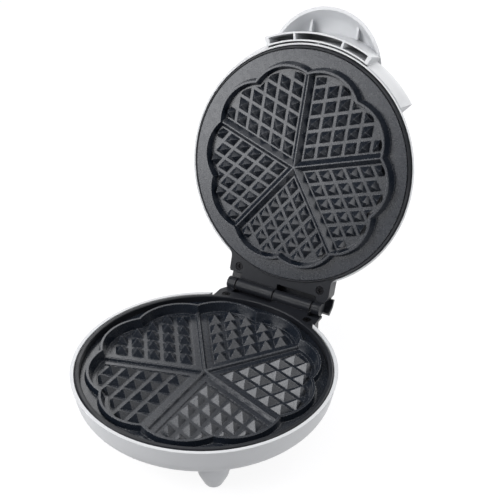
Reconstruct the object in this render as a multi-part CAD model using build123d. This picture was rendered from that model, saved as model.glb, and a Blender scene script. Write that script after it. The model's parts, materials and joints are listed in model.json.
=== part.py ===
from build123d import *
import os
from dataclasses import dataclass
from math import cos, degrees, radians, sin, tan

# Heart waffle maker: a base and a lid on one hinge, shown with the lid open.
# Lengths are millimetres and angles are degrees. Each half is drawn on its back, with its plate
# facing up and the rim round its hearts at height 0. Depths run down from that rim.
# Angles about the plate run from the hinge (+Y) towards +X.

# Hearts, shared by both plates
heart_count = 5
heart_angle = 360 / heart_count
lobe_angle = heart_angle / 2
rim_flat = 1.8
wall_draft = 17.0
plate_wall = 3.0
groove_depth = 0.4
pyramid_tip = 0.6
pyramid_root = 0.5
smallest_pyramid = 0.16

# Base plate
base_cusp_radius = 80.0
base_lobe_rise = 6.0
base_ring_width = 5.4
base_ring_depth = 4.5
base_floor_depth = 7.8
base_pocket_depth = 0.8
base_separator_half = 6.5
base_border = 3.0
base_pyramid_margin = 0.9
base_ridge_height = 1.8
base_ridge_top = 1.8
base_ridge_foot = 4.0
base_groove_width = 0.7
base_pyramid_first = 13.6
base_pyramid_pitch = 12.7
base_pyramid_edge = 9.9
base_pyramid_height = 5.2
base_plate_radius = base_cusp_radius + base_lobe_rise + base_ring_width

# Lid plate
lid_heart_inset = 5.6
lid_cusp_radius = base_cusp_radius - lid_heart_inset
lid_lobe_rise = 5.7
lid_ring_depth = 7.2
lid_floor_depth = 6.2
lid_pocket_depth = 0.0
lid_separator_half = 4.0
lid_border = 1.0
lid_pyramid_margin = 0.8
lid_ridge_height = 4.2
lid_ridge_top = 0.9
lid_ridge_foot = 8.0
lid_groove_width = 0.0
lid_pyramid_first = 10.05
lid_pyramid_pitch = 11.7
lid_pyramid_edge = 9.05
lid_pyramid_height = 4.8

# Bezels
plate_clearance = 0.3
ledge_width = 3.4
ledge_thickness = 2.5
lip_chamfer = 0.6
flange_width = 1.8
base_lip_width = 3.4
base_lip_depth = -0.75
base_lip_flat = 2.2
base_lip_fall = 0.6
base_flange_height = 2.65
lid_lip_width = 2.7
lid_lip_sink = 0.2
lid_lip_flat = 0.6
lid_lip_fall = 3.2
lid_flange_height = 1.0
ledge_inner_radius = base_plate_radius - ledge_width
base_lip_inner_radius = base_plate_radius + plate_clearance
lip_outer_radius = base_lip_inner_radius + base_lip_width
lid_lip_inner_radius = lip_outer_radius - lid_lip_width
skirt_radius = lip_outer_radius - flange_width
base_lip_edge_depth = base_lip_depth + base_lip_fall
base_flange_depth = base_lip_edge_depth + base_flange_height
lid_lip_depth = lid_ring_depth + lid_lip_sink
lid_lip_edge_depth = lid_lip_depth + lid_lip_fall
lid_flange_depth = lid_lip_edge_depth + lid_flange_height

# Hinge
open_angle = 106.0
hinge_overhang = 13.7
base_hinge_depth = -0.5
lid_hinge_depth = 6.25
barrel_radius = 5.15
barrel_clearance = 0.65
barrel_end_inset = 3.0
short_knuckle_length = 8.6
knuckle_gap = 1.2
knuckle_slot = 4.0
lid_cover_slot_depth = 4.5
pin_radius = 2.0
pin_clearance = 0.05
pin_end_wall = 2.5
ear_half_width = 46.0
ear_drop = 2.6
ear_thickness = 3.5
ear_corner_cut = 2.5
ear_corner_length = 5.0
ear_root_fillet = 8.0
base_cover_depth = 5.5
lid_cover_depth = 8.5
cover_wall = 2.0
cradle_overhang = 1.0
cradle_thickness = 2.2
hood_overhang = 1.3
hood_reach = 6.0
hood_rise = 7.8
hood_thickness = 2.2
hinge_screw_side_inset = 8.5
hinge_screw_end_inset = 8.7
hinge_screw_bite = 4.0
hinge_reach = lip_outer_radius + hinge_overhang
barrel_half_length = ear_half_width - barrel_end_inset
knuckle_split = barrel_half_length - short_knuckle_length

# Shells
shell_wall = 2.6
shell_clearance = 0.3
rim_ledge_height = 3.5
base_rim_overhang = 3.5
base_rim_rise = 0.35
base_wall_lean = 4.7
base_corner_round = 17.5
base_floor_radius = 50.0
base_floor_fall = 7.4
wiring_clearance = 1.1
lid_rim_overhang = 1.7
lid_rim_rise = 1.8
lid_wall_lean = 9.8
lid_corner_round = 22.0
lid_crown_radius = 45.0
lid_crown_fall = 9.0
lid_shell_depth = 46.0
base_rim_radius = lip_outer_radius + base_rim_overhang
base_rim_depth = base_lip_edge_depth - base_rim_rise
base_corner_radius = base_rim_radius - base_wall_lean
lid_rim_radius = lip_outer_radius + lid_rim_overhang
lid_rim_depth = lid_flange_depth - lid_rim_rise
lid_corner_radius = lid_rim_radius - lid_wall_lean
lid_corner_depth = lid_shell_depth - lid_crown_fall

# Feet
foot_angle = 36.5
foot_inset = 19.9
foot_stand = 16.7
foot_tip_radius = 5.6
foot_tip_round = 4.6
foot_knee_radius = 11.0
foot_knee_height = 11.5
foot_knee_round = 12.0
foot_root_radius = 13.0
foot_root_overlap = 13.3
foot_wall = 2.6
foot_circle = base_corner_radius - foot_inset
foot_root_height = foot_stand + foot_root_overlap

# Cord inlet
gland_seat_inset = 1.8
gland_neck_radius = 3.9
gland_neck_inset = 0.2
gland_bore_radius = 2.9
gland_flange_radius = 5.4
gland_flange_length = 2.5
gland_boss_radius = 6.0
gland_clearance = 0.1
gland_end_room = 0.4
gland_top_room = 0.75
gland_seat_reach = base_rim_radius - gland_seat_inset

# Floor vents
vent_count = 5
vent_length = 26.0
vent_width = 2.6
vent_pitch = 6.4
vent_reach = -12.0

# Handle visor, wings and slotted bar
visor_setback = 20.3
visor_radius = 49.3
visor_rise = 1.0
visor_crown_fall = 3.0
visor_side_height = 17.0
visor_side_lean = 7.8
visor_corner_round = 15.0
visor_crown_radius = 14.0
visor_wall = 2.6
visor_rib_spacing = 40.0
visor_rib_thickness = 2.0
visor_rib_height = 9.0
visor_centre_reach = lid_rim_radius - visor_setback
visor_depth = lid_shell_depth + visor_rise
visor_corner_radius = visor_radius - visor_side_lean
visor_corner_depth = visor_depth - visor_crown_fall
visor_rim_depth = visor_corner_depth - visor_side_height
handle_clearance = 0.15
wing_end_angle = 50.6
wing_foot_overhang = 0.5
wing_foot_sink = 0.6
wing_foot_height = 12.1
wing_edge_overhang = 4.6
wing_edge_height = 3.0
wing_top_inset = 1.0
wing_top_rise = 4.0
wing_wall = 2.4
wing_foot_radius = lid_rim_radius + wing_foot_overhang
wing_foot_depth = lid_rim_depth + wing_foot_sink
wing_edge_radius = lid_rim_radius + wing_edge_overhang
wing_edge_depth = wing_foot_depth + wing_foot_height
wing_top_radius = lid_corner_radius - wing_top_inset
wing_top_depth = lid_corner_depth + wing_top_rise
bar_half_angle = 26.0
bar_gap = 1.2
bar_thickness = 7.4
bar_rise = 1.2
bar_rib_thickness = 1.2
bar_rib_sink = 0.2
slot_inner_wall = 1.3
slot_outer_wall = 1.4
slot_end_wall_angle = 1.8
slot_back_wall = 7.0
slot_split_angle = 11.7
slot_rib_thickness = 1.8
bar_inner_radius = lid_rim_radius + bar_gap
bar_outer_radius = bar_inner_radius + bar_thickness
bar_depth = lid_rim_depth - bar_rise
bar_rib_depth = lid_rim_depth + bar_rib_sink
slot_inner_radius = bar_inner_radius + slot_inner_wall
slot_outer_radius = bar_outer_radius - slot_outer_wall
slot_end_angle = bar_half_angle - slot_end_wall_angle
slot_back_depth = visor_depth - slot_back_wall
handle_screw_spacing = 44.0
handle_screw_setback = 6.5
handle_boss_radius = 4.5
handle_screw_reach = visor_centre_reach - handle_screw_setback

# Heating parts
plate_boss_inset = 8.4
plate_boss_radius = 4.0
plate_boss_count = 4
plate_boss_start = 45.0
heater_inset = 16.0
heater_tube_radius = 3.3
heater_gap_angle = 40.0
heater_pin_radius = 1.6
heater_pin_length = 4.0
heater_pin_inset = 4.0
seat_gap = 0.05
cut_margin = 1.0
reflector_thickness = 0.8
reflector_drop = 9.0
reflector_flange_width = 2.2
reflector_wall_inset = 0.6
reflector_wall_lean = 1.6
reflector_hole_radius = 14.0
reflector_notch_clearance = 0.6
plate_boss_circle = lid_cusp_radius - plate_boss_inset
heater_circle = plate_boss_circle - heater_inset
reflector_flange_radius = ledge_inner_radius + reflector_flange_width
reflector_wall_top_radius = ledge_inner_radius - reflector_wall_inset
reflector_wall_foot_radius = reflector_wall_top_radius - reflector_wall_lean
thermostat_cap_radius = 6.5
thermostat_cap_height = 2.0
thermostat_body_radius = 9.0
thermostat_body_height = 7.0
thermostat_blade_length = 7.0
thermostat_blade_width = 5.0
thermostat_blade_thickness = 0.8
fuse_length = 12.0
fuse_radius = 2.6
fuse_taper_length = 3.0
fuse_lead_radius = 0.6
fuse_lead_length = 7.0
fuse_reach = 27.0

# Wiring parts
terminal_length = 30.0
terminal_width = 15.0
terminal_height = 6.5
terminal_wire_radius = 1.8
terminal_ways = 3
terminal_inset = 10.6
lens_spacing = 24.0
lens_inset = 7.0
lens_radius = 3.2
lens_flange_radius = 4.4
lens_flange_length = 1.2
lens_standout = 1.0
lens_clearance = 0.1
lamp_holder_width = 12.0
lamp_holder_height = 7.0
lamp_post_radius = 2.0
lamp_post_spacing = 38.0
terminal_reach = base_floor_radius - terminal_inset
lens_reach = lid_crown_radius - lens_inset
lamp_holder_length = lamp_post_spacing + 2 * lamp_post_radius

# Screws
screw_shank_radius = 1.5
screw_head_radius = 3.1
screw_head_height = 1.8
screw_clearance = 0.05
head_clearance = 0.4
cross_length = 3.6
cross_width = 0.9
cross_depth = 0.9
screw_bite = 6.0
hole_clearance = 0.3
shell_screw_offset = 0.8
shell_post_radius = 2.8
shell_post_length = 6.0
shell_boss_radius = 4.4
shell_boss_wall = 3.0
post_clearance = 0.2
shell_screw_circle = ledge_inner_radius + shell_screw_offset


@dataclass
class Half:
    """The sizes in which the base and the lid differ."""

    hinge_depth: float
    cover_depth: float
    cusp_radius: float
    lobe_rise: float
    ring_depth: float
    floor_depth: float
    pocket_depth: float
    separator_half: float
    border: float
    pyramid_margin: float
    ridge_height: float
    ridge_top: float
    ridge_foot: float
    groove_width: float
    pyramid_first: float
    pyramid_pitch: float
    pyramid_edge: float
    pyramid_height: float
    lip_inner_radius: float
    lip_depth: float
    lip_flat: float
    lip_edge_depth: float
    flange_depth: float

    @property
    def plate_radius(self):
        return self.lip_inner_radius - plate_clearance

    @property
    def ridge_depth(self):
        return self.floor_depth - self.ridge_height

    @property
    def seat_depth(self):
        """Underside of the plate's edge, where the bezel's ledge carries it."""
        return self.ring_depth + plate_wall

    @property
    def ledge_back_depth(self):
        return self.seat_depth + ledge_thickness

    @property
    def back_depth(self):
        """Underside of the plate behind the hearts."""
        return max(self.ring_depth, self.floor_depth + self.pocket_depth) + plate_wall

    @property
    def reflector_depth(self):
        return self.back_depth + reflector_drop

    @property
    def ear_depth(self):
        return self.hinge_depth + ear_drop

    @property
    def ear_back_depth(self):
        return self.ear_depth + ear_thickness

    @property
    def cover_back_depth(self):
        return self.ear_back_depth + self.cover_depth


base_half = Half(
    hinge_depth=base_hinge_depth,
    cover_depth=base_cover_depth,
    cusp_radius=base_cusp_radius,
    lobe_rise=base_lobe_rise,
    ring_depth=base_ring_depth,
    floor_depth=base_floor_depth,
    pocket_depth=base_pocket_depth,
    separator_half=base_separator_half,
    border=base_border,
    pyramid_margin=base_pyramid_margin,
    ridge_height=base_ridge_height,
    ridge_top=base_ridge_top,
    ridge_foot=base_ridge_foot,
    groove_width=base_groove_width,
    pyramid_first=base_pyramid_first,
    pyramid_pitch=base_pyramid_pitch,
    pyramid_edge=base_pyramid_edge,
    pyramid_height=base_pyramid_height,
    lip_inner_radius=base_lip_inner_radius,
    lip_depth=base_lip_depth,
    lip_flat=base_lip_flat,
    lip_edge_depth=base_lip_edge_depth,
    flange_depth=base_flange_depth,
)

lid_half = Half(
    hinge_depth=lid_hinge_depth,
    cover_depth=lid_cover_depth,
    cusp_radius=lid_cusp_radius,
    lobe_rise=lid_lobe_rise,
    ring_depth=lid_ring_depth,
    floor_depth=lid_floor_depth,
    pocket_depth=lid_pocket_depth,
    separator_half=lid_separator_half,
    border=lid_border,
    pyramid_margin=lid_pyramid_margin,
    ridge_height=lid_ridge_height,
    ridge_top=lid_ridge_top,
    ridge_foot=lid_ridge_foot,
    groove_width=lid_groove_width,
    pyramid_first=lid_pyramid_first,
    pyramid_pitch=lid_pyramid_pitch,
    pyramid_edge=lid_pyramid_edge,
    pyramid_height=lid_pyramid_height,
    lip_inner_radius=lid_lip_inner_radius,
    lip_depth=lid_lip_depth,
    lip_flat=lid_lip_flat,
    lip_edge_depth=lid_lip_edge_depth,
    flange_depth=lid_flange_depth,
)

# Base shell, from the parts inside it
base_shell_depth = (
    base_half.reflector_depth + reflector_thickness + wiring_clearance + terminal_height + shell_wall
)
base_corner_depth = base_shell_depth - base_floor_fall
foot_depth = base_shell_depth + foot_stand
gland_boss_length = gland_seat_reach - reflector_wall_top_radius - reflector_thickness - gland_end_room
gland_neck_length = gland_boss_length - gland_neck_inset
gland_boss_top = base_half.ledge_back_depth + seat_gap + reflector_thickness + gland_top_room
gland_depth = gland_boss_top + gland_boss_radius


# Shared shapes


def polar(radius, angle):
    """Point in the plate's plane; the angle runs from +Y towards +X."""
    return Vector(radius * sin(radians(angle)), radius * cos(radians(angle)))


def spun(points):
    """Solid of revolution about Z of a closed outline of (radius, depth) points."""
    outline = Polyline([(radius, -depth) for radius, depth in points], close=True)
    return revolve(Plane.XZ * make_face(outline), Axis.Z)


def sector(points, start_angle, end_angle):
    """Part of a solid of revolution, between two angles about the plate."""
    outline = Polyline([(radius, -depth) for radius, depth in points], close=True)
    section = Plane.XZ * make_face(outline)
    sweep = revolve(section, Axis.Z, end_angle - start_angle)
    return Rot(0, 0, 90 - end_angle) * sweep


def upright(radius, top_depth, bottom_depth):
    """Cylinder along Z between two depths."""
    cylinder = Cylinder(radius, bottom_depth - top_depth, align=(Align.CENTER, Align.CENTER, Align.MAX))
    return Pos(0, 0, -top_depth) * cylinder


def block(outline, top_depth, bottom_depth):
    """Straight-sided solid on a flat outline, between two depths."""
    return Pos(0, 0, -bottom_depth) * extrude(outline, bottom_depth - top_depth, dir=(0, 0, 1))


def at(angle, radius):
    """Place at an angle about the plate, turned so that local +Y points outwards."""
    return Rot(0, 0, -angle) * Pos(0, radius, 0)


def crosswise(radius, start, end):
    """Cylinder along X."""
    return Pos((start + end) / 2, 0, 0) * Rot(0, 90, 0) * Cylinder(radius, end - start)


def bowl(rim_radius, rim_depth, corner_radius, corner_depth, corner_round, floor_radius, floor_depth):
    """Solid bowl: drafted wall, rounded corner, sloping floor with a flat middle."""
    points = [
        (0, -rim_depth),
        (rim_radius, -rim_depth),
        (corner_radius, -corner_depth),
        (floor_radius, -floor_depth),
        (0, -floor_depth),
    ]
    outline = make_face(Polyline(points, close=True))
    rounded = outline.vertices().sort_by_distance((corner_radius, -corner_depth, 0))[0]
    return revolve(Plane.XZ * fillet(rounded, corner_round), Axis.Z)


def screw_down(head_depth, bite):
    """Pan-head screw pointing down: depth of its head's face, and its length below the head."""
    head = upright(screw_head_radius, 0, screw_head_height)
    shank = upright(screw_shank_radius, screw_head_height / 2, screw_head_height + bite)
    slot = Box(cross_length, cross_width, 2 * cross_depth)
    return Pos(0, 0, -head_depth) * (head + shank - slot - Rot(0, 0, 90) * slot)


def screw_up(head_depth, bite):
    """The same screw pointing up, driven from behind."""
    return Pos(0, 0, -head_depth) * Rot(180, 0, 0) * screw_down(0, bite)


# Heart plates


def cluster_outline(cusp_radius, lobe_radius, depth):
    """Ten round lobes, two to a heart, meeting at cusps."""
    arcs = []
    for step in range(2 * heart_count):
        start = polar(cusp_radius, step * lobe_angle)
        crown = polar(lobe_radius, (step + 0.5) * lobe_angle)
        end = polar(cusp_radius, (step + 1) * lobe_angle)
        arcs.append(ThreePointArc(start, crown, end))
    return Pos(0, 0, -depth) * make_face(arcs)


def rim_inside(half, depth, outward=0.0):
    """Drafted inner wall of the recess at one depth."""
    shift = outward - rim_flat / 2 - depth * tan(radians(wall_draft))
    cusp = half.cusp_radius + shift
    return cluster_outline(cusp, cusp + half.lobe_rise, depth)


def rim_outside(half, depth):
    """Drafted outer wall of the raised rim at one depth."""
    cusp = half.cusp_radius + rim_flat / 2 + depth * tan(radians(wall_draft))
    return cluster_outline(cusp, cusp + half.lobe_rise, depth)


def heart_floor(half, wall_margin, separator_half):
    """Floor of the heart next to the hinge, between two separators and inside the lobes."""
    shift = rim_flat / 2 + half.floor_depth * tan(radians(wall_draft)) + wall_margin
    cusp = half.cusp_radius - shift
    point = Vector(0, separator_half / sin(radians(lobe_angle)))
    reach = half.cusp_radius + half.lobe_rise
    left = point + polar(2 * reach, -lobe_angle)
    right = point + polar(2 * reach, lobe_angle)
    wedge = make_face(Polyline([point, right, left], close=True))
    return cluster_outline(cusp, cusp + half.lobe_rise, 0) & wedge


def spoke(section, length, angle):
    """Bar from the centre of the plate outwards; section points are (across, depth)."""
    plane = Plane(
        origin=(0, 0, 0),
        x_dir=(-cos(radians(angle)), sin(radians(angle)), 0),
        z_dir=(sin(radians(angle)), cos(radians(angle)), 0),
    )
    outline = Polyline([(across, -depth) for across, depth in section], close=True)
    return extrude(plane * make_face(outline), length)


def ridge_angles():
    return [lobe_angle + step * heart_angle for step in range(heart_count)]


def ridges(half):
    """Low walls between the hearts."""
    root_depth = half.floor_depth + pyramid_root
    section = [
        (-half.ridge_foot / 2, root_depth),
        (-half.ridge_foot / 2, half.floor_depth),
        (-half.ridge_top / 2, half.ridge_depth),
        (half.ridge_top / 2, half.ridge_depth),
        (half.ridge_foot / 2, half.floor_depth),
        (half.ridge_foot / 2, root_depth),
    ]
    return [spoke(section, half.cusp_radius, angle) for angle in ridge_angles()]


def ridge_grooves(half):
    """Fine line along the top of each ridge."""
    section = [
        (-half.groove_width / 2, half.ridge_depth - groove_depth),
        (-half.groove_width / 2, half.ridge_depth),
        (0, half.ridge_depth + groove_depth),
        (half.groove_width / 2, half.ridge_depth),
        (half.groove_width / 2, half.ridge_depth - groove_depth),
    ]
    return [spoke(section, half.cusp_radius - rim_flat, angle) for angle in ridge_angles()]


def rhombus(centre, edge, along, across, depth):
    corners = [
        centre + along * (edge / 2) + across * (edge / 2),
        centre + along * (edge / 2) - across * (edge / 2),
        centre - along * (edge / 2) - across * (edge / 2),
        centre - along * (edge / 2) + across * (edge / 2),
    ]
    return Pos(0, 0, -depth) * make_face(Polyline(corners, close=True))


def heart_pyramids(half):
    """Pyramids of the heart next to the hinge, in rows along its two separators."""
    depth = half.floor_depth + half.pocket_depth
    field = heart_floor(
        half,
        half.border + half.pyramid_margin,
        half.separator_half + half.pyramid_margin,
    )
    room_height = half.pyramid_height + pyramid_root
    room = Pos(0, 0, -depth - pyramid_root) * extrude(field, room_height, dir=(0, 0, 1))
    along = polar(1, -lobe_angle)
    across = polar(1, lobe_angle)
    root_edge = half.pyramid_edge * (1 + pyramid_root / half.pyramid_height)
    rows = range(int((half.cusp_radius + half.lobe_rise) / half.pyramid_pitch) + 1)
    found = []
    for row in rows:
        for column in rows:
            centre = along * (half.pyramid_first + row * half.pyramid_pitch)
            centre = centre + across * (half.pyramid_first + column * half.pyramid_pitch)
            foot = rhombus(centre, root_edge, along, across, depth + pyramid_root)
            tip = rhombus(centre, pyramid_tip, along, across, depth - half.pyramid_height)
            whole = loft([foot, tip], ruled=True)
            kept = whole & room
            if kept is not None and kept.volume > smallest_pyramid * whole.volume:
                found += kept.solids()
    return found


def around(shapes):
    """Copies of the shapes at every heart."""
    return [Rot(0, 0, step * heart_angle) * shape for step in range(heart_count) for shape in shapes]


def boss_places(circle, count, start):
    return [at(start + step * 360 / count, circle) for step in range(count)]


def plate_boss_places():
    return boss_places(plate_boss_circle, plate_boss_count, plate_boss_start)


def plate(half):
    """Cast cooking plate: flat ring, raised rim, recess with five hearts, bosses behind."""
    ring = upright(half.plate_radius, half.ring_depth, half.seat_depth)
    rim = loft([rim_outside(half, 0), rim_outside(half, half.ring_depth + plate_wall / 2)], ruled=True)
    pan = loft(
        [rim_inside(half, half.ring_depth, plate_wall), rim_inside(half, half.back_depth, plate_wall)],
        ruled=True,
    )
    recess = loft([rim_inside(half, -rim_flat), rim_inside(half, half.floor_depth)], ruled=True)
    body = ring + rim + pan - recess
    if half.pocket_depth > 0:
        floor = heart_floor(half, half.border, half.separator_half)
        pocket = Pos(0, 0, -half.floor_depth) * extrude(floor, half.pocket_depth, dir=(0, 0, -1))
        body = body - around([pocket])
    body = body + around(heart_pyramids(half)) + ridges(half)
    if half.groove_width > 0:
        body = body - ridge_grooves(half)
    boss = upright(plate_boss_radius, half.back_depth - plate_wall / 2, half.reflector_depth - seat_gap)
    pilot_depth = half.reflector_depth - screw_bite - head_clearance
    pilot = upright(screw_shank_radius + screw_clearance, pilot_depth, half.reflector_depth)
    places = plate_boss_places()
    return body + [place * boss for place in places] - [place * pilot for place in places]


def plate_screws(half):
    """Screws from behind that clamp the reflector to the plate's bosses."""
    head_depth = half.reflector_depth + reflector_thickness + screw_head_height
    one = screw_up(head_depth, reflector_thickness + screw_bite)
    return Part() + [place * one for place in plate_boss_places()]


# Heating parts


def heater_pin_angles():
    angle = heater_gap_angle / 2 + heater_pin_inset
    return (-angle, angle)


def heater(half):
    """Tubular element, open towards the hinge, with a pin at each end."""
    centre_depth = half.back_depth + seat_gap + heater_tube_radius
    section = Plane.XZ * Pos(heater_circle, -centre_depth) * Circle(heater_tube_radius)
    tube = revolve(section, Axis.Z, 360 - heater_gap_angle)
    ring = Rot(0, 0, 90 + heater_gap_angle / 2) * tube
    pin = upright(heater_pin_radius, centre_depth, centre_depth + heater_tube_radius + heater_pin_length)
    return ring + [at(angle, heater_circle) * pin for angle in heater_pin_angles()]


def reflector(half, notch_places):
    """Pressed dish behind the heater, with a flange under the bezel's ledge."""
    dish = half.reflector_depth
    flange = half.ledge_back_depth + seat_gap
    body = spun([
        (reflector_hole_radius, dish),
        (reflector_wall_foot_radius, dish),
        (reflector_wall_top_radius, flange),
        (reflector_flange_radius, flange),
        (reflector_flange_radius, flange + reflector_thickness),
        (reflector_wall_top_radius + reflector_thickness, flange + reflector_thickness),
        (reflector_wall_foot_radius + reflector_thickness, dish + reflector_thickness),
        (reflector_hole_radius, dish + reflector_thickness),
    ])
    below = dish + 2 * reflector_thickness
    screw_hole = upright(screw_shank_radius + hole_clearance, dish - reflector_thickness, below)
    pin_hole = upright(heater_pin_radius + 2 * hole_clearance, dish - reflector_thickness, below)
    notch = upright(shell_boss_radius + reflector_notch_clearance, 0, below)
    cuts = [place * screw_hole for place in plate_boss_places()]
    cuts += [at(angle, heater_circle) * pin_hole for angle in heater_pin_angles()]
    cuts += [place * notch for place in notch_places]
    return body - cuts


def thermostat(half):
    """Disc thermostat pressed against the middle of the plate."""
    cap_depth = half.back_depth + seat_gap
    body_depth = cap_depth + thermostat_cap_height
    blade_depth = body_depth + thermostat_body_height
    cap = upright(thermostat_cap_radius, cap_depth, body_depth)
    body = upright(thermostat_body_radius, body_depth, blade_depth)
    blade = Box(thermostat_blade_width, thermostat_blade_thickness, thermostat_blade_length)
    blades = []
    for side in (-1, 1):
        middle = blade_depth + thermostat_blade_length / 2
        blades.append(Pos(0, side * thermostat_body_radius / 2, -middle) * blade)
    return cap + body + blades


def thermal_fuse(half):
    """Fuse with tapered ends and two leads, lying against the plate."""
    half_body = fuse_length / 2
    half_taper = half_body + fuse_taper_length
    outline = Polyline(
        [
            (-half_taper - fuse_lead_length, 0),
            (-half_taper - fuse_lead_length, fuse_lead_radius),
            (-half_taper, fuse_lead_radius),
            (-half_body, fuse_radius),
            (half_body, fuse_radius),
            (half_taper, fuse_lead_radius),
            (half_taper + fuse_lead_length, fuse_lead_radius),
            (half_taper + fuse_lead_length, 0),
        ],
        close=True,
    )
    fuse = revolve(make_face(outline), Axis.X)
    return Pos(0, -fuse_reach, -half.back_depth - seat_gap - fuse_radius) * fuse


# Bezels and hinge


def ear_end():
    """Where an ear stops to clear the other half's knuckles."""
    return hinge_reach - barrel_radius - barrel_clearance


def ear_tab(shrink):
    """Ear without its root fillets."""
    width = ear_half_width - shrink
    end = ear_end() - shrink
    points = [
        (-width, 0),
        (-width, end - ear_corner_length),
        (-width + ear_corner_cut, end),
        (width - ear_corner_cut, end),
        (width, end - ear_corner_length),
        (width, 0),
    ]
    return make_face(Polyline(points, close=True))


def ear_outline(growth):
    """Ear flowing into the part of the bezel ring next to the hinge."""
    width = ear_half_width + growth
    ring_radius = lip_outer_radius + growth
    joined = Circle(ring_radius) + ear_tab(-growth)
    root = (ring_radius ** 2 - width ** 2) ** 0.5
    corners = [joined.vertices().sort_by_distance((side * width, root, 0))[0] for side in (-1, 1)]
    flowing = fillet(corners, ear_root_fillet) - Circle(skirt_radius - lip_chamfer)
    span = 2 * (width + ear_root_fillet)
    return flowing & (Pos(0, hinge_reach, 0) * Rectangle(span, span))


def knuckle_spans():
    """One long and one short knuckle; the other half's pair is this one turned about Y."""
    long_span = (knuckle_gap / 2, knuckle_split)
    short_span = (-barrel_half_length, -knuckle_split - knuckle_gap)
    return (long_span, short_span)


def knuckle(half, start, end):
    """Barrel piece on a web that reaches back into the ear."""
    axis = Pos(0, hinge_reach, -half.hinge_depth)
    barrel = axis * crosswise(barrel_radius, start, end)
    root = ear_end() - ear_corner_length
    web_height = barrel_radius - ear_drop
    web = Pos((start + end) / 2, (root + hinge_reach) / 2, -half.ear_depth - web_height / 2)
    return barrel + web * Box(end - start, hinge_reach - root, web_height)


def ear_slots(top_depth, bottom_depth):
    """Gaps at the end of an ear, in front of the other half's knuckles."""
    start = hinge_reach - barrel_radius - knuckle_slot
    long_gap = (-knuckle_split - knuckle_gap, knuckle_gap / 2)
    short_gap = (knuckle_split, ear_half_width + cut_margin)
    cuts = []
    for left, right in (long_gap, short_gap):
        middle = Pos((left + right) / 2, (start + hinge_reach) / 2)
        outline = middle * Rectangle(right - left, hinge_reach - start)
        cuts.append(block(outline, top_depth, bottom_depth))
    return cuts


def hinge_screw_places():
    across = ear_half_width - hinge_screw_side_inset
    along = ear_end() - hinge_screw_end_inset
    return [Pos(side * across, along, 0) for side in (-1, 1)]


def shell_screw_places():
    return [at(angle, shell_screw_circle) for angle in (180, heart_angle, -heart_angle)]


def bezel(half, bore_start):
    """Ring round the plate, with its hinge ear and knuckles in one piece."""
    lip_inner = half.lip_inner_radius
    ring = spun([
        (ledge_inner_radius, half.seat_depth),
        (lip_inner, half.seat_depth),
        (lip_inner, half.lip_depth + lip_chamfer),
        (lip_inner + lip_chamfer, half.lip_depth),
        (lip_inner + lip_chamfer + half.lip_flat, half.lip_depth),
        (lip_outer_radius, half.lip_edge_depth),
        (lip_outer_radius, half.flange_depth),
        (skirt_radius, half.flange_depth),
        (skirt_radius, half.ledge_back_depth),
        (ledge_inner_radius, half.ledge_back_depth),
    ])
    ear = block(ear_outline(0), half.ear_depth, half.ear_back_depth)
    ear = ear - ear_slots(half.ear_depth - cut_margin, half.ear_back_depth + cut_margin)
    knuckles = [knuckle(half, start, end) for start, end in knuckle_spans()]
    bore = crosswise(pin_radius + pin_clearance, bore_start, barrel_half_length)
    bore = Pos(0, hinge_reach, -half.hinge_depth) * bore
    recess_depth = half.ear_depth + screw_head_height + head_clearance
    recess = upright(screw_head_radius + head_clearance, half.ear_depth - ear_thickness, recess_depth)
    hole = upright(screw_shank_radius + hole_clearance, half.ear_depth, half.ear_back_depth + ear_thickness)
    screw_cut = recess + hole
    return ring + ear + knuckles - bore - [place * screw_cut for place in hinge_screw_places()]


def base_bezel():
    """Base ring, with posts that the shell's screws pull on."""
    half = base_half
    post_end = half.ledge_back_depth + shell_post_length
    post = upright(shell_post_radius, half.ledge_back_depth - ledge_thickness / 2, post_end)
    pilot = upright(screw_shank_radius + screw_clearance, half.ledge_back_depth, post_end)
    body = bezel(half, -barrel_half_length)
    places = shell_screw_places()
    return body + [place * post for place in places] - [place * pilot for place in places]


def lid_bezel():
    return bezel(lid_half, pin_end_wall - barrel_half_length)


def hinge_pin():
    start = pin_end_wall / 2 - barrel_half_length
    end = barrel_half_length - pin_end_wall - pin_clearance
    return Pos(0, hinge_reach, -base_hinge_depth) * crosswise(pin_radius, start, end)


def hinge_cover(half):
    """Tray behind an ear, with two bosses for the hinge screws."""
    inner_radius = lip_outer_radius + 2 * shell_clearance
    outside = ear_tab(0) - Circle(inner_radius)
    inside = ear_tab(cover_wall) - Circle(inner_radius + cover_wall)
    body = block(outside, half.ear_back_depth, half.cover_back_depth)
    room = block(inside, half.ear_back_depth - cut_margin, half.cover_back_depth - cover_wall)
    boss = upright(screw_head_radius, half.ear_back_depth, half.cover_back_depth)
    pilot_end = half.ear_back_depth + hinge_screw_bite + head_clearance
    pilot = upright(screw_shank_radius + screw_clearance, half.ear_back_depth - cut_margin, pilot_end)
    places = hinge_screw_places()
    return body - room + [place * boss for place in places] - [place * pilot for place in places]


def cradle(half):
    """Lip of the base's hinge cover that reaches under the barrel."""
    start = ear_end() - cover_wall
    end = hinge_reach + cradle_overhang
    lip = Box(2 * (ear_half_width - ear_corner_cut), end - start, cradle_thickness)
    return Pos(0, (start + end) / 2, -half.ear_back_depth - cradle_thickness / 2) * lip


def hood(half):
    """Curved tail of the lid's hinge cover that reaches over the barrel."""
    back = half.cover_back_depth
    root = ear_end() - cover_wall / 2
    tip_reach = hinge_reach + hood_reach
    tip_depth = half.hinge_depth + hood_rise
    slope = hood_thickness / 2
    outline = Polyline(
        [
            (root, -back),
            (hinge_reach, -back + slope),
            (tip_reach, -tip_depth - slope),
            (tip_reach - hood_thickness, -tip_depth + slope),
            (hinge_reach - slope, -back + slope + hood_thickness),
            (root, -back + hood_thickness),
        ],
        close=True,
    )
    return extrude(Plane.YZ * make_face(outline), ear_half_width + hood_overhang, both=True)


def base_hinge_cover():
    return hinge_cover(base_half) + cradle(base_half)


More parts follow.
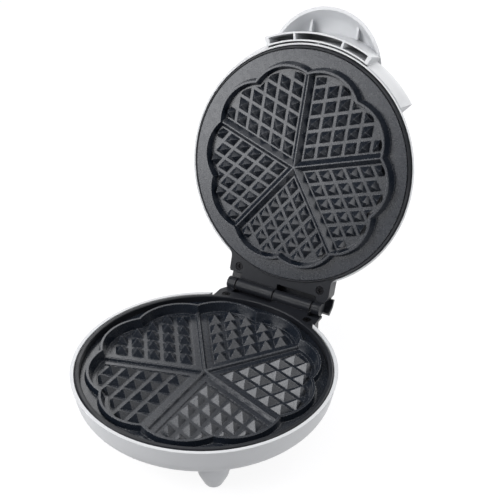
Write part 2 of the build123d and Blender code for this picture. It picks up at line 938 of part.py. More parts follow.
def lid_hinge_cover():
    """Lid's cover, hooded over the barrel and slotted like its ear."""
    top = lid_half.ear_back_depth
    return hinge_cover(lid_half) + hood(lid_half) - ear_slots(top - cut_margin, top + lid_cover_slot_depth)


def hinge_screws(half):
    under_head = ear_thickness - screw_head_height - head_clearance
    one = screw_down(half.ear_depth + head_clearance, under_head + hinge_screw_bite)
    return Part() + [place * one for place in hinge_screw_places()]


# Shells


def base_bowl(inset):
    return bowl(
        base_rim_radius - inset,
        base_rim_depth,
        base_corner_radius - inset,
        base_corner_depth - inset,
        base_corner_round - inset,
        base_floor_radius,
        base_shell_depth - inset,
    )


def lid_bowl(inset):
    return bowl(
        lid_rim_radius - inset,
        lid_rim_depth,
        lid_corner_radius - inset,
        lid_corner_depth - inset,
        lid_corner_round - inset,
        lid_crown_radius,
        lid_shell_depth - inset,
    )


def rim_seat(half, outer, rim_depth):
    """Ledge inside a shell's rim that carries the bezel's flange, and the room for the bezel."""
    top = half.flange_depth + seat_gap
    inner = skirt_radius + shell_clearance
    ledge = upright(lip_outer_radius + ledge_thickness, top, top + rim_ledge_height)
    ledge = (ledge - upright(inner, top - cut_margin, top + 2 * rim_ledge_height)) & outer
    flange_room = upright(lip_outer_radius + shell_clearance, rim_depth - cut_margin, top)
    skirt_room = upright(inner, rim_depth - cut_margin, half.ledge_back_depth + shell_clearance)
    return ledge, flange_room + skirt_room


def ear_notch(half, rim_depth):
    """Gap in a shell's rim for the hinge ear and, further down, for its cover."""
    top = rim_depth - cut_margin
    cover = ear_tab(-shell_clearance) - Circle(lip_outer_radius + shell_clearance)
    ear_gap = block(ear_outline(shell_clearance), top, half.ear_back_depth + shell_clearance)
    return ear_gap + block(cover, top, half.cover_back_depth + shell_clearance)


def foot(inset):
    """Foot standing on the table, as a solid of revolution about its own axis."""
    tip = (foot_tip_radius - inset / 2, inset)
    knee = (foot_knee_radius - inset, foot_knee_height)
    root = (foot_root_radius - inset, foot_root_height)
    outline = make_face(Polyline([(0, inset), tip, knee, root, (0, foot_root_height)], close=True))
    tip_corner = outline.vertices().sort_by_distance((tip[0], tip[1], 0))[0]
    outline = fillet(tip_corner, foot_tip_round - inset)
    knee_corner = outline.vertices().sort_by_distance((knee[0], knee[1], 0))[0]
    outline = fillet(knee_corner, foot_knee_round)
    return Pos(0, 0, -foot_depth) * revolve(Plane.XZ * outline, Axis.Z)


def foot_places():
    angles = (foot_angle, 180 - foot_angle, foot_angle - 180, -foot_angle)
    return [at(angle, foot_circle) for angle in angles]


def backwards(radius, start, end):
    """Cylinder along Y at the height of the cord inlet."""
    cylinder = Rot(90, 0, 0) * Cylinder(radius, end - start)
    return Pos(0, (start + end) / 2, -gland_depth) * cylinder


def floor_vents():
    slot = Box(vent_length, vent_width, 4 * shell_wall)
    middle = (vent_count - 1) / 2
    return [
        Pos(0, vent_reach + (step - middle) * vent_pitch, -base_shell_depth) * slot
        for step in range(vent_count)
    ]


def base_shell():
    """Bowl with four moulded feet, screw bosses, cord inlet and floor vents."""
    half = base_half
    outer = base_bowl(0)
    ledge, room = rim_seat(half, outer, base_rim_depth)
    places = foot_places()
    body = outer + [place * foot(0) for place in places]
    body = body - base_bowl(shell_wall) - [place * foot(foot_wall) for place in places]
    boss_top = half.ledge_back_depth + shell_post_length + post_clearance
    boss = upright(shell_boss_radius, boss_top, base_shell_depth)
    hole = upright(screw_shank_radius + hole_clearance, 0, foot_depth)
    head_room = upright(screw_head_radius + head_clearance, boss_top + shell_boss_wall, foot_depth)
    screw_cut = hole + head_room
    screw_places = shell_screw_places()
    inlet = backwards(gland_boss_radius, gland_seat_reach - gland_boss_length, gland_seat_reach)
    body = body + ledge + [(place * boss) & outer for place in screw_places] + inlet
    body = body - room - ear_notch(half, base_rim_depth)
    body = body - [place * screw_cut for place in screw_places]
    inlet_start = gland_seat_reach - 2 * gland_neck_length
    inlet_end = gland_seat_reach + cut_margin
    inlet_hole = backwards(gland_neck_radius + gland_clearance, inlet_start, inlet_end)
    return body - inlet_hole - floor_vents()


def base_shell_screws():
    head_seat = base_half.ledge_back_depth + shell_post_length + post_clearance + shell_boss_wall
    one = screw_up(head_seat + screw_head_height, shell_boss_wall + shell_post_length)
    return Part() + [place * one for place in shell_screw_places()]


def cord_gland():
    """Grommet in the inlet; the lead itself is left off."""
    flange_end = gland_seat_reach + gland_flange_length
    flange = backwards(gland_flange_radius, gland_seat_reach, flange_end)
    neck = backwards(gland_neck_radius, gland_seat_reach - gland_neck_length, flange_end)
    return flange + neck - backwards(gland_bore_radius, 0, 2 * gland_seat_reach)


def terminal_block():
    """Block on the shell's floor with a row of wire ways."""
    floor = base_shell_depth - shell_wall
    block = Box(terminal_length, terminal_width, terminal_height)
    block = Pos(0, terminal_reach, terminal_height / 2 - floor) * block
    way = Rot(90, 0, 0) * Cylinder(terminal_wire_radius, 2 * terminal_width)
    pitch = terminal_length / terminal_ways
    ways = []
    for step in range(terminal_ways):
        across = (step - (terminal_ways - 1) / 2) * pitch
        ways.append(Pos(across, terminal_reach, terminal_height / 2 - floor) * way)
    return block - ways


def handle_screw_places():
    return [Pos(side * handle_screw_spacing / 2, -handle_screw_reach, 0) for side in (-1, 1)]


def crown_slope():
    """Fall of the lid's crown for each millimetre outwards."""
    return (lid_shell_depth - lid_corner_depth) / (lid_corner_radius - lid_crown_radius)


def handle_seat_depth():
    """Depth of the crown's outside at the handle screws."""
    radius = ((handle_screw_spacing / 2) ** 2 + handle_screw_reach ** 2) ** 0.5
    return lid_shell_depth - (radius - lid_crown_radius) * crown_slope()


def handle_pad_depth():
    """Flat inside the lid where the handle screws' heads sit."""
    return handle_seat_depth() - shell_wall - handle_boss_radius


def lens_places():
    return [Pos(side * lens_spacing / 2, -lens_reach, 0) for side in (-1, 1)]


def lid_shell():
    """Domed cover with pads for the handle screws, lamp posts and lens holes."""
    half = lid_half
    outer = lid_bowl(0)
    ledge, room = rim_seat(half, outer, lid_rim_depth)
    pad = upright(handle_boss_radius, handle_pad_depth(), lid_shell_depth)
    inside = lid_shell_depth - shell_wall
    post = upright(lamp_post_radius, inside - lens_flange_length - seat_gap, inside + shell_wall / 2)
    posts = [Pos(side * lamp_post_spacing / 2, -lens_reach, 0) * post for side in (-1, 1)]
    body = outer - lid_bowl(shell_wall) + ledge + posts
    body = body + [(place * pad) & outer for place in handle_screw_places()]
    body = body - room - ear_notch(half, lid_rim_depth)
    screw_hole = upright(screw_shank_radius + hole_clearance, 0, visor_depth)
    lens_hole = upright(lens_radius + lens_clearance, inside - shell_wall, visor_depth)
    body = body - [place * screw_hole for place in handle_screw_places()]
    return body - [place * lens_hole for place in lens_places()]


def lens(place):
    """Round lens with a flange inside the lid."""
    inside = lid_shell_depth - shell_wall
    flange = upright(lens_flange_radius, inside - lens_flange_length, inside)
    button = upright(lens_radius, inside - lens_flange_length, lid_shell_depth + lens_standout)
    return place * (flange + button)


def lamp_holder():
    """Block that carries the two lamps behind their lenses."""
    face = lid_shell_depth - shell_wall - lens_flange_length - seat_gap
    block = Box(lamp_holder_length, lamp_holder_width, lamp_holder_height)
    block = Pos(0, -lens_reach, lamp_holder_height / 2 - face) * block
    lamp_room = upright(lens_radius, face - lamp_holder_height / 2, face + cut_margin)
    return block - [place * lamp_room for place in lens_places()]


# Handle


def visor(inset):
    """Hump of the handle, round its own upright axis."""
    hump = bowl(
        visor_radius - inset,
        visor_rim_depth,
        visor_corner_radius - inset,
        visor_corner_depth - inset,
        visor_corner_round - inset,
        visor_crown_radius,
        visor_depth - inset,
    )
    return Pos(0, -visor_centre_reach, 0) * hump


def wing(start_angle, end_angle, inset):
    """Cheek that wraps the lid's side, from the slotted bar to the handle's end."""
    section = [
        (lid_crown_radius, wing_foot_depth + inset),
        (wing_foot_radius - inset, wing_foot_depth + inset),
        (wing_edge_radius - inset, wing_edge_depth),
        (wing_edge_radius - inset, wing_edge_depth + wing_edge_height),
        (wing_top_radius - inset, wing_top_depth - inset),
        (lid_crown_radius, wing_top_depth - inset),
    ]
    return sector(section, start_angle, end_angle)


def annular(inner_radius, outer_radius, top_depth, bottom_depth, start_angle, end_angle):
    corners = [
        (inner_radius, top_depth),
        (outer_radius, top_depth),
        (outer_radius, bottom_depth),
        (inner_radius, bottom_depth),
    ]
    return sector(corners, start_angle, end_angle)


def slotted_bar():
    """Bar in front of the lid's rim, with three deep slots."""
    front = 180
    bar = annular(
        bar_inner_radius,
        bar_outer_radius,
        bar_depth,
        visor_depth,
        front - bar_half_angle,
        front + bar_half_angle,
    )
    rib_angle = degrees(2 * slot_rib_thickness / (slot_inner_radius + slot_outer_radius))
    spans = [
        (-slot_end_angle, -slot_split_angle - rib_angle / 2),
        (-slot_split_angle + rib_angle / 2, slot_split_angle - rib_angle / 2),
        (slot_split_angle + rib_angle / 2, slot_end_angle),
    ]
    slots = [
        annular(slot_inner_radius, slot_outer_radius, 0, slot_back_depth, front + start, front + end)
        for start, end in spans
    ]
    rib_length = bar_inner_radius - lid_corner_radius
    rib = Box(bar_rib_thickness, rib_length, visor_rim_depth - bar_rib_depth)
    rib = Pos(0, -bar_inner_radius + rib_length / 2, -(visor_rim_depth + bar_rib_depth) / 2) * rib
    return bar - slots + rib


def visor_ribs():
    """Two stiffening ribs under the visor's crown."""
    reach = visor_centre_reach + visor_radius
    middle = (bar_outer_radius + reach) / 2
    rib = Box(visor_rib_thickness, reach - bar_outer_radius + visor_wall, visor_rib_height)
    depth = visor_depth - visor_wall - visor_rib_height / 2
    return [Pos(side * visor_rib_spacing / 2, -middle, -depth) * rib for side in (-1, 1)]


def handle():
    """Hollow visor with slotted bar, ribs, screw bosses and side wings, cut to the lid's dome."""
    hump = visor(0)
    below = Pos(0, -visor_centre_reach, 0) * upright(visor_radius, 0, visor_rim_depth)
    boss = upright(handle_boss_radius, visor_rim_depth, visor_depth)
    inner = [slotted_bar() & (hump + below)]
    inner += [rib & hump for rib in visor_ribs()]
    inner += [(place * boss) & hump for place in handle_screw_places()]
    body = hump - visor(visor_wall) + inner
    for side in (-1, 1):
        bar_end = 180 - side * bar_half_angle
        wing_end = 180 - side * wing_end_angle
        closed_end = wing_end + side * wing_wall
        outer = wing(min(bar_end, wing_end), max(bar_end, wing_end), 0)
        room = wing(min(bar_end, closed_end), max(bar_end, closed_end), wing_wall)
        body = body + (outer - room)
    body = body - lid_bowl(-handle_clearance)
    pilot = upright(screw_shank_radius + screw_clearance, visor_rim_depth, visor_depth - visor_wall)
    return body - [place * pilot for place in handle_screw_places()]


def handle_screws():
    """Screws from inside the lid into the handle's bosses."""
    head_depth = handle_pad_depth() - screw_head_height
    bite = visor_depth - visor_wall - handle_pad_depth() - head_clearance
    one = screw_down(head_depth, bite)
    return Part() + [place * one for place in handle_screw_places()]


# Assembly


def lid_place():
    """Turns the lid over about the hinge, then swings it open."""
    to_axis = Pos(0, -hinge_reach, lid_hinge_depth)
    turned = Rot(-open_angle, 0, 0) * Rot(0, 180, 0)
    return Pos(0, hinge_reach, -base_hinge_depth) * turned * to_axis


def base_nodes():
    return {
        "base_shell": base_shell(),
        "base_bezel": base_bezel(),
        "base_plate": plate(base_half),
        "base_heater": heater(base_half),
        "base_reflector": reflector(base_half, shell_screw_places()),
        "base_plate_screws": plate_screws(base_half),
        "base_shell_screws": base_shell_screws(),
        "base_hinge_cover": base_hinge_cover(),
        "base_hinge_screws": hinge_screws(base_half),
        "hinge_pin": hinge_pin(),
        "cord_gland": cord_gland(),
        "terminal_block": terminal_block(),
        "thermal_fuse": thermal_fuse(base_half),
    }


def lid_nodes():
    right_lens, left_lens = [lens(place) for place in lens_places()]
    return {
        "lid_shell": lid_shell(),
        "lid_bezel": lid_bezel(),
        "lid_plate": plate(lid_half),
        "lid_heater": heater(lid_half),
        "lid_reflector": reflector(lid_half, []),
        "lid_plate_screws": plate_screws(lid_half),
        "lid_hinge_cover": lid_hinge_cover(),
        "lid_hinge_screws": hinge_screws(lid_half),
        "handle": handle(),
        "handle_screws": handle_screws(),
        "thermostat": thermostat(lid_half),
        "power_lens": left_lens,
        "ready_lens": right_lens,
        "lamp_holder": lamp_holder(),
    }


nodes = base_nodes()
for name, shape in lid_nodes().items():
    nodes[name] = lid_place() * shape

# The origin is the middle of the box round the open waffle maker, at table height.
box = Compound(list(nodes.values())).bounding_box()
origin = Vector(box.center().X, box.center().Y, box.min.Z)
to_origin = Pos(-origin.X, -origin.Y, -origin.Z)

os.makedirs("parts", exist_ok=True)
for name, shape in nodes.items():
    export_step(to_origin * shape, f"parts/{name}.step")
axis_point = to_origin * Pos(0, hinge_reach, -base_hinge_depth)
print("hinge axis passes through", axis_point.position)
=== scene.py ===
import json
import math

import bpy
from mathutils import Matrix, Vector


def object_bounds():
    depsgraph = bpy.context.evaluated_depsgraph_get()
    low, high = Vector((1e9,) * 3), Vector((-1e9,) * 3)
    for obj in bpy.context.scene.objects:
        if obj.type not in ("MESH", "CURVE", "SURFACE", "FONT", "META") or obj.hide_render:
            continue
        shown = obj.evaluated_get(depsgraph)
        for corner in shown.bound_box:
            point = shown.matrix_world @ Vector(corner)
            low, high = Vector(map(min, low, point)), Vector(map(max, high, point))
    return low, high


# Heart waffle maker, open on a pale floor. Lengths are metres, angles are degrees and lamp powers are watts.

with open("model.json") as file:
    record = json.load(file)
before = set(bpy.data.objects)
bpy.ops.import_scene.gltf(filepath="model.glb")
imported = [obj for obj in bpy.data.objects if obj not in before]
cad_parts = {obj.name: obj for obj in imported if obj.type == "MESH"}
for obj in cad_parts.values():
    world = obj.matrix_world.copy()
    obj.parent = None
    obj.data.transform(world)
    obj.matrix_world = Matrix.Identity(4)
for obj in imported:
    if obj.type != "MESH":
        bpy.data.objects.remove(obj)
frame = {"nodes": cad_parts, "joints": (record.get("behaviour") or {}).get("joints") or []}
cad_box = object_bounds()
hinge = Vector(frame["joints"][0]["pos_m"])

# Camera, measured from the hinge axis. The lens and the sensor are in millimetres, as Blender takes them.
camera_from_hinge = Vector((0.30694, -0.59305, 0.42388))
target_from_hinge = Vector((-0.0039, -0.03569, 0.0595))
camera_roll = 0.91
camera_lens = 68.82
sensor_width = 36.0
upright = Vector((0.0, 0.0, 1.0))

# Shading of the moulded and cast edges
smooth_angle = 32.0
weld_distance = 1e-6
edge_radius = 0.0005
edge_samples = 4

# Cosine between the true and the rounded surface direction, on an open face and on an edge with the full
# painted highlight
open_face = 0.99
full_edge_highlight = 0.7

# Band of a noise pattern that a varied value is stretched over
noise_low = 0.3
noise_high = 0.7

# Surroundings. The camera sees them white, and they give the object an even ambient light. In the object's
# gloss they are white behind it and dim in front of it. They fade between two limits for the y part of a
# direction.
white = (1.0, 1.0, 1.0, 1.0)
white_strength = 1.0
ambient_strength = 0.27
dim_strength = 0.05
dim_below_y = 0.3
white_above_y = 0.8

# Softboxes: place from the middle of the object, size, power, and whether the object's gloss shows the lamp
softboxes = {
    "key": (Vector((-0.74, -1.1, 0.22)), (0.7, 0.4), 3.7, True),
    "top": (Vector((0.3, 0.1, 1.3)), (0.9, 0.9), 3.8, True),
    "right": (Vector((1.0, 0.05, 0.8)), (0.6, 0.6), 2.2, True),
    "low": (Vector((1.15, -0.4, -0.1)), (0.6, 0.05), 4.2, False),
    "left": (Vector((-0.9, 0.6, 0.6)), (0.5, 0.5), 1.7, True),
    "front": (Vector((-0.91, -0.69, 0.62)), (0.5, 0.5), 3.6, True),
    "fill": (Vector((-0.68, -0.85, 0.78)), (0.7, 0.6), 9.0, False),
    "high": (Vector((-0.5, -0.45, 1.1)), (0.35, 0.35), 3.0, True),
    "back": (Vector((0.3, 1.3, 0.6)), (1.2, 0.8), 8.0, True),
}

# Floor
floor_size = 4.0
floor_colour = (0.16, 0.16, 0.17)
floor_glow = 0.9

# Which finish each piece of the object has
finish_of_node = {
    "base_shell": "white_plastic",
    "lid_shell": "white_plastic",
    "handle": "white_plastic",
    "base_bezel": "black_plastic",
    "lid_bezel": "black_plastic",
    "base_hinge_cover": "black_plastic",
    "lid_hinge_cover": "black_plastic",
    "base_plate": "nonstick",
    "lid_plate": "nonstick",
    "base_heater": "dull_steel",
    "lid_heater": "dull_steel",
    "base_reflector": "sheet_aluminium",
    "lid_reflector": "sheet_aluminium",
    "base_plate_screws": "dull_steel",
    "lid_plate_screws": "dull_steel",
    "base_shell_screws": "dull_steel",
    "handle_screws": "dull_steel",
    "base_hinge_screws": "black_steel",
    "lid_hinge_screws": "black_steel",
    "hinge_pin": "dull_steel",
    "thermal_fuse": "dull_steel",
    "cord_gland": "rubber",
    "thermostat": "black_plastic",
    "terminal_block": "cream_plastic",
    "lamp_holder": "cream_plastic",
    "power_lens": "red_lens",
    "ready_lens": "green_lens",
}


# Material building blocks


class Finish:
    """A material under construction: its nodes, its links and its surface shader."""

    def __init__(self, name):
        self.material = bpy.data.materials.new(name)
        self.material.use_nodes = True
        tree = self.material.node_tree
        self.nodes = tree.nodes
        self.links = tree.links
        self.surface = self.nodes["Principled BSDF"]
        coordinates = self.nodes.new("ShaderNodeTexCoord")
        self.place = coordinates.outputs["Object"]

    def noise(self, scale, detail):
        """Soft random pattern; scale counts features in a metre."""
        node = self.nodes.new("ShaderNodeTexNoise")
        node.inputs["Scale"].default_value = scale
        node.inputs["Detail"].default_value = detail
        self.links.new(self.place, node.inputs["Vector"])
        return node.outputs["Fac"]

    def cells(self, scale):
        """Random cells; scale counts cells in a metre."""
        node = self.nodes.new("ShaderNodeTexVoronoi")
        node.inputs["Scale"].default_value = scale
        self.links.new(self.place, node.inputs["Vector"])
        return node.outputs["Distance"]

    def mapped(self, value, from_low, from_high, to_low, to_high):
        """A changing value moved from one range to another."""
        node = self.nodes.new("ShaderNodeMapRange")
        node.inputs["From Min"].default_value = from_low
        node.inputs["From Max"].default_value = from_high
        node.inputs["To Min"].default_value = to_low
        node.inputs["To Max"].default_value = to_high
        self.links.new(value, node.inputs["Value"])
        return node.outputs["Result"]

    def varied(self, scale, detail, low, high):
        """A value that wanders between two limits with a noise pattern."""
        return self.mapped(self.noise(scale, detail), noise_low, noise_high, low, high)

    def mixed(self, share, first, second):
        """Colour between two fixed colours."""
        node = self.nodes.new("ShaderNodeMix")
        node.data_type = "RGBA"
        node.inputs["A"].default_value = (*first, 1.0)
        node.inputs["B"].default_value = (*second, 1.0)
        self.links.new(share, node.inputs["Factor"])
        return node.outputs["Result"]

    def mixed_over(self, share, below, colour):
        """A fixed colour laid over a changing one."""
        node = self.nodes.new("ShaderNodeMix")
        node.data_type = "RGBA"
        node.inputs["B"].default_value = (*colour, 1.0)
        self.links.new(share, node.inputs["Factor"])
        self.links.new(below, node.inputs["A"])
        return node.outputs["Result"]

    def soft_edges(self, radius):
        """Surface direction with its edges rounded."""
        node = self.nodes.new("ShaderNodeBevel")
        node.samples = edge_samples
        node.inputs["Radius"].default_value = radius
        return node.outputs["Normal"]

    def painted_edge_highlight(self, rounded, share):
        """Share of a painted highlight: near 0 on open faces, rising to the share along edges."""
        geometry = self.nodes.new("ShaderNodeNewGeometry")
        dot = self.nodes.new("ShaderNodeVectorMath")
        dot.operation = "DOT_PRODUCT"
        self.links.new(rounded, dot.inputs[0])
        self.links.new(geometry.outputs["Normal"], dot.inputs[1])
        return self.mapped(dot.outputs["Value"], open_face, full_edge_highlight, 0.0, share)

    def bumped(self, height, depth, normal=None):
        """Surface direction with a fine relief, on top of another direction where one is given."""
        node = self.nodes.new("ShaderNodeBump")
        node.inputs["Distance"].default_value = depth
        self.links.new(height, node.inputs["Height"])
        if normal is not None:
            self.links.new(normal, node.inputs["Normal"])
        return node.outputs["Normal"]

    def set(self, socket, value):
        """A fixed value or a changing one on the surface shader."""
        if isinstance(value, bpy.types.NodeSocket):
            self.links.new(value, self.surface.inputs[socket])
        elif isinstance(value, tuple):
            self.surface.inputs[socket].default_value = (*value, 1.0)
        else:
            self.surface.inputs[socket].default_value = value


# Finishes


def white_plastic():
    """Moulded grey-white plastic: faint cloudiness, fine grain, edges painted paler as a highlight."""
    dark = (0.60, 0.61, 0.63)
    pale = (0.66, 0.67, 0.685)
    edge = (0.78, 0.79, 0.80)
    finish = Finish("white_plastic")
    rounded = finish.soft_edges(edge_radius)
    body = finish.mixed(finish.noise(scale=18.0, detail=3.0), dark, pale)
    # Painted highlight: a paler colour laid along the edges
    edge_highlighted = finish.mixed_over(finish.painted_edge_highlight(rounded, share=0.35), body, edge)
    finish.set("Base Color", edge_highlighted)
    finish.set("Roughness", finish.varied(scale=60.0, detail=4.0, low=0.34, high=0.46))
    grain = finish.noise(scale=2600.0, detail=2.0)
    finish.set("Normal", finish.bumped(grain, depth=0.000012, normal=rounded))
    return finish.material


def black_plastic():
    """Black satin plastic with an even spark-eroded grain, painted paler along its edges as a highlight."""
    dark = (0.009, 0.0102, 0.0135)
    pale = (0.0155, 0.017, 0.0215)
    edge = (0.07, 0.073, 0.08)
    finish = Finish("black_plastic")
    rounded = finish.soft_edges(edge_radius)
    body = finish.mixed(finish.noise(scale=40.0, detail=3.0), dark, pale)
    # Painted highlight: a paler colour laid along the edges
    edge_highlighted = finish.mixed_over(finish.painted_edge_highlight(rounded, share=0.5), body, edge)
    finish.set("Base Color", edge_highlighted)
    finish.set("Roughness", finish.varied(scale=90.0, detail=4.0, low=0.30, high=0.42))
    finish.set("Specular IOR Level", 0.4)
    grain = finish.noise(scale=3200.0, detail=2.0)
    finish.set("Normal", finish.bumped(grain, depth=0.00003, normal=rounded))
    return finish.material


def nonstick():
    """Dark non-stick coating on cast metal: sprayed grain, tiny pale flecks, a painted highlight along the
    edges.
    """
    dark = (0.006, 0.0086, 0.014)
    pale = (0.009, 0.0125, 0.0195)
    edge = (0.24, 0.246, 0.262)
    fleck_colour = (0.05, 0.05, 0.052)
    fleck_rim = 0.16
    fleck_core = 0.08
    fleck_share = 0.35
    finish = Finish("nonstick")
    rounded = finish.soft_edges(edge_radius)
    body = finish.mixed(finish.noise(scale=55.0, detail=4.0), dark, pale)
    fleck = finish.mapped(finish.cells(scale=1500.0), fleck_rim, fleck_core, 0.0, fleck_share)
    flecked = finish.mixed_over(fleck, body, fleck_colour)
    # Painted highlight: a paler grey laid along the edges
    edge_highlighted = finish.mixed_over(finish.painted_edge_highlight(rounded, share=0.6), flecked, edge)
    finish.set("Base Color", edge_highlighted)
    finish.set("Roughness", finish.varied(scale=220.0, detail=3.0, low=0.24, high=0.30))
    finish.set("Specular IOR Level", 0.9)
    finish.set("Specular Tint", (0.97, 0.975, 1.0))
    grain = finish.noise(scale=2400.0, detail=2.0)
    finish.set("Normal", finish.bumped(grain, depth=0.000018, normal=rounded))
    return finish.material


def metal(name, dark, pale, rough_low, rough_high):
    """Bare or plated metal with a faint mottle."""
    finish = Finish(name)
    rounded = finish.soft_edges(edge_radius / 2)
    finish.set("Base Color", finish.mixed(finish.noise(scale=300.0, detail=4.0), dark, pale))
    finish.set("Metallic", 1.0)
    finish.set("Roughness", finish.varied(scale=900.0, detail=3.0, low=rough_low, high=rough_high))
    grain = finish.noise(scale=4000.0, detail=2.0)
    finish.set("Normal", finish.bumped(grain, depth=0.00001, normal=rounded))
    return finish.material


def dull_steel():
    """Plated steel of most screws, the pin, the heaters and the fuse."""
    dark = (0.32, 0.31, 0.30)
    pale = (0.48, 0.47, 0.46)
    return metal("dull_steel", dark, pale, rough_low=0.32, rough_high=0.5)


def black_steel():
    """Blackened steel of the hinge screws."""
    dark = (0.02, 0.02, 0.022)
    pale = (0.035, 0.035, 0.038)
    return metal("black_steel", dark, pale, rough_low=0.34, rough_high=0.5)


def sheet_aluminium():
    """Bright sheet of the heat reflectors."""
    dark = (0.62, 0.62, 0.63)
    pale = (0.74, 0.74, 0.75)
    return metal("sheet_aluminium", dark, pale, rough_low=0.28, rough_high=0.4)


def moulded(name, dark, pale, rough_low, rough_high):
    """Plain moulded material with a light grain."""
    finish = Finish(name)
    rounded = finish.soft_edges(edge_radius)
    finish.set("Base Color", finish.mixed(finish.noise(scale=80.0, detail=3.0), dark, pale))
    finish.set("Roughness", finish.varied(scale=200.0, detail=3.0, low=rough_low, high=rough_high))
    grain = finish.noise(scale=2500.0, detail=2.0)
    finish.set("Normal", finish.bumped(grain, depth=0.00002, normal=rounded))
    return finish.material


def rubber():
    """Black rubber of the cord's grommet."""
    dark = (0.012, 0.012, 0.012)
    pale = (0.02, 0.02, 0.02)
    return moulded("rubber", dark, pale, rough_low=0.6, rough_high=0.75)


def cream_plastic():
    """Uncoloured plastic of the electrical pieces inside."""
    dark = (0.62, 0.58, 0.48)
    pale = (0.7, 0.66, 0.56)
    return moulded("cream_plastic", dark, pale, rough_low=0.45, rough_high=0.6)


def lens(name, dark, pale):
    """Clear tinted lens with a faint inner mottle."""
    finish = Finish(name)
    finish.set("Base Color", finish.mixed(finish.noise(scale=500.0, detail=2.0), dark, pale))
    finish.set("Roughness", finish.varied(scale=700.0, detail=2.0, low=0.08, high=0.16))
    finish.set("Transmission Weight", 0.5)
    finish.set("Normal", finish.bumped(finish.noise(scale=1500.0, detail=1.0), depth=0.00001))
    return finish.material


def red_lens():
    """Lens of the power lamp."""
    return lens("red_lens", dark=(0.38, 0.015, 0.012), pale=(0.55, 0.03, 0.02))


def green_lens():
    """Lens of the ready lamp."""
    return lens("green_lens", dark=(0.02, 0.28, 0.05), pale=(0.04, 0.42, 0.09))


finishes = {
    "white_plastic": white_plastic,
    "black_plastic": black_plastic,
    "nonstick": nonstick,
    "dull_steel": dull_steel,
    "black_steel": black_steel,
    "sheet_aluminium": sheet_aluminium,
    "rubber": rubber,
    "cream_plastic": cream_plastic,
    "red_lens": red_lens,
    "green_lens": green_lens,
}


# Smooth shading that keeps the real corners sharp


def smoothing_nodes():
    """Node group that shades faces smooth except across edges sharper than the limit."""
    group = bpy.data.node_groups.new("smooth_faces", "GeometryNodeTree")
    group.interface.new_socket("Geometry", in_out="INPUT", socket_type="NodeSocketGeometry")
    group.interface.new_socket("Geometry", in_out="OUTPUT", socket_type="NodeSocketGeometry")
    start = group.nodes.new("NodeGroupInput")
    weld = group.nodes.new("GeometryNodeMergeByDistance")
    weld.inputs["Distance"].default_value = weld_distance
    faces = group.nodes.new("GeometryNodeSetShadeSmooth")
    edge_angle = group.nodes.new("GeometryNodeInputMeshEdgeAngle")
    gentle = group.nodes.new("FunctionNodeCompare")
    gentle.operation = "LESS_EQUAL"
    gentle.inputs["B"].default_value = math.radians(smooth_angle)
    edges = group.nodes.new("GeometryNodeSetShadeSmooth")
    edges.domain = "EDGE"
    end = group.nodes.new("NodeGroupOutput")
    group.links.new(start.outputs[0], weld.inputs["Geometry"])
    group.links.new(weld.outputs["Geometry"], faces.inputs["Geometry"])
    group.links.new(faces.outputs["Geometry"], edges.inputs["Geometry"])
    group.links.new(edge_angle.outputs["Unsigned Angle"], gentle.inputs["A"])
    group.links.new(gentle.outputs["Result"], edges.inputs["Shade Smooth"])
    group.links.new(edges.outputs["Geometry"], end.inputs[0])
    return group


def dress_nodes():
    """Gives every piece its finish and smooth shading."""
    made = {name: make() for name, make in finishes.items()}
    smoothing = smoothing_nodes()
    for node, finish in finish_of_node.items():
        piece = frame["nodes"][node]
        piece.data.materials.clear()
        piece.data.materials.append(made[finish])
        modifier = piece.modifiers.new("smooth_faces", "NODES")
        modifier.node_group = smoothing


# Stage


def seen_by(nodes, links, rays):
    """1 for rays of the named kinds and 0 for other light."""
    path = nodes.new("ShaderNodeLightPath")
    total = path.outputs[rays[0]]
    for name in rays[1:]:
        either = nodes.new("ShaderNodeMath")
        either.operation = "MAXIMUM"
        links.new(total, either.inputs[0])
        links.new(path.outputs[name], either.inputs[1])
        total = either.outputs["Value"]
    return total


def add_floor():
    """Matt floor that shows white to the camera and keeps the object's shadow."""
    bpy.ops.mesh.primitive_plane_add(size=floor_size)
    floor = bpy.context.object
    floor.name = "floor"
    material = bpy.data.materials.new("floor")
    material.use_nodes = True
    nodes = material.node_tree.nodes
    links = material.node_tree.links
    surface = nodes["Principled BSDF"]
    surface.inputs["Base Color"].default_value = (*floor_colour, 1.0)
    surface.inputs["Roughness"].default_value = 1.0
    surface.inputs["Specular IOR Level"].default_value = 0.0
    surface.inputs["Emission Color"].default_value = white
    seen = seen_by(nodes, links, ["Is Camera Ray", "Is Glossy Ray", "Is Transmission Ray"])
    glow = nodes.new("ShaderNodeMath")
    glow.operation = "MULTIPLY"
    glow.inputs[1].default_value = floor_glow
    links.new(seen, glow.inputs[0])
    links.new(glow.outputs["Value"], surface.inputs["Emission Strength"])
    floor.data.materials.append(material)


def strength_in_gloss(nodes, links):
    """Strength of the surroundings in a gloss: white behind the object, fading to dim in front of it."""
    direction = nodes.new("ShaderNodeTexCoord")
    parts = nodes.new("ShaderNodeSeparateXYZ")
    fade = nodes.new("ShaderNodeMapRange")
    fade.inputs["From Min"].default_value = dim_below_y
    fade.inputs["From Max"].default_value = white_above_y
    fade.inputs["To Min"].default_value = dim_strength
    fade.inputs["To Max"].default_value = white_strength
    links.new(direction.outputs["Generated"], parts.inputs["Vector"])
    links.new(parts.outputs["Y"], fade.inputs["Value"])
    return fade.outputs["Result"]


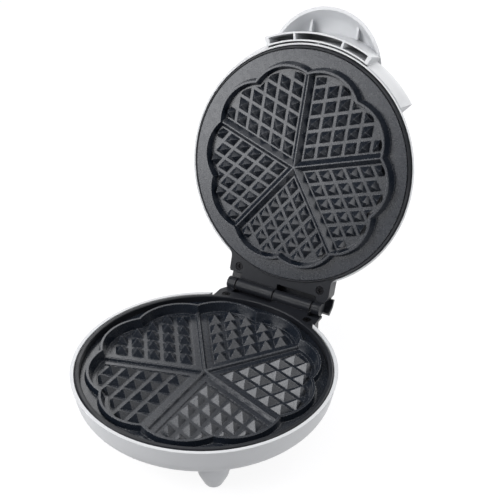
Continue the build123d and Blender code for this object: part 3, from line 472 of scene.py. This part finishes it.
def add_world():
    """White surroundings to look at, with a lower even light for the object."""
    world = bpy.data.worlds.new("studio")
    bpy.context.scene.world = world
    world.use_nodes = True
    nodes = world.node_tree.nodes
    links = world.node_tree.links
    background = nodes["Background"]
    background.inputs["Color"].default_value = white
    on_object = nodes.new("ShaderNodeMapRange")
    on_object.inputs["To Min"].default_value = ambient_strength
    links.new(seen_by(nodes, links, ["Is Glossy Ray"]), on_object.inputs["Value"])
    links.new(strength_in_gloss(nodes, links), on_object.inputs["To Max"])
    strength = nodes.new("ShaderNodeMapRange")
    strength.inputs["To Max"].default_value = white_strength
    links.new(seen_by(nodes, links, ["Is Camera Ray", "Is Transmission Ray"]), strength.inputs["Value"])
    links.new(on_object.outputs["Result"], strength.inputs["To Min"])
    links.new(strength.outputs["Result"], background.inputs["Strength"])


def add_softbox(name, from_middle, size, power, in_gloss):
    """Rectangular lamp that points at the middle of the object."""
    lamp = bpy.data.lights.new(name, "AREA")
    lamp.shape = "RECTANGLE"
    lamp.size, lamp.size_y = size
    lamp.energy = power
    box = bpy.data.objects.new(name, lamp)
    box.visible_glossy = in_gloss
    middle = (cad_box[0] + cad_box[1]) / 2
    box.location = middle + from_middle
    box.rotation_euler = (-from_middle).to_track_quat("-Z", "Y").to_euler()
    bpy.context.scene.collection.objects.link(box)


def add_camera():
    """Camera at the photograph's angle, slightly rolled as it was held."""
    data = bpy.data.cameras.new("camera")
    data.lens = camera_lens
    data.sensor_width = sensor_width
    camera = bpy.data.objects.new("camera", data)
    place = hinge + camera_from_hinge
    back = (camera_from_hinge - target_from_hinge).normalized()
    level_right = upright.cross(back).normalized()
    level_up = back.cross(level_right)
    turn = math.radians(camera_roll)
    right = level_right * math.cos(turn) + level_up * math.sin(turn)
    up = level_up * math.cos(turn) - level_right * math.sin(turn)
    camera.matrix_world = Matrix.Translation(place) @ Matrix((right, up, back)).transposed().to_4x4()
    bpy.context.scene.collection.objects.link(camera)
    bpy.context.scene.camera = camera


dress_nodes()
add_floor()
add_world()
for softbox_name, softbox in softboxes.items():
    add_softbox(softbox_name, *softbox)
add_camera()
bpy.context.scene.view_settings.view_transform = "Standard"
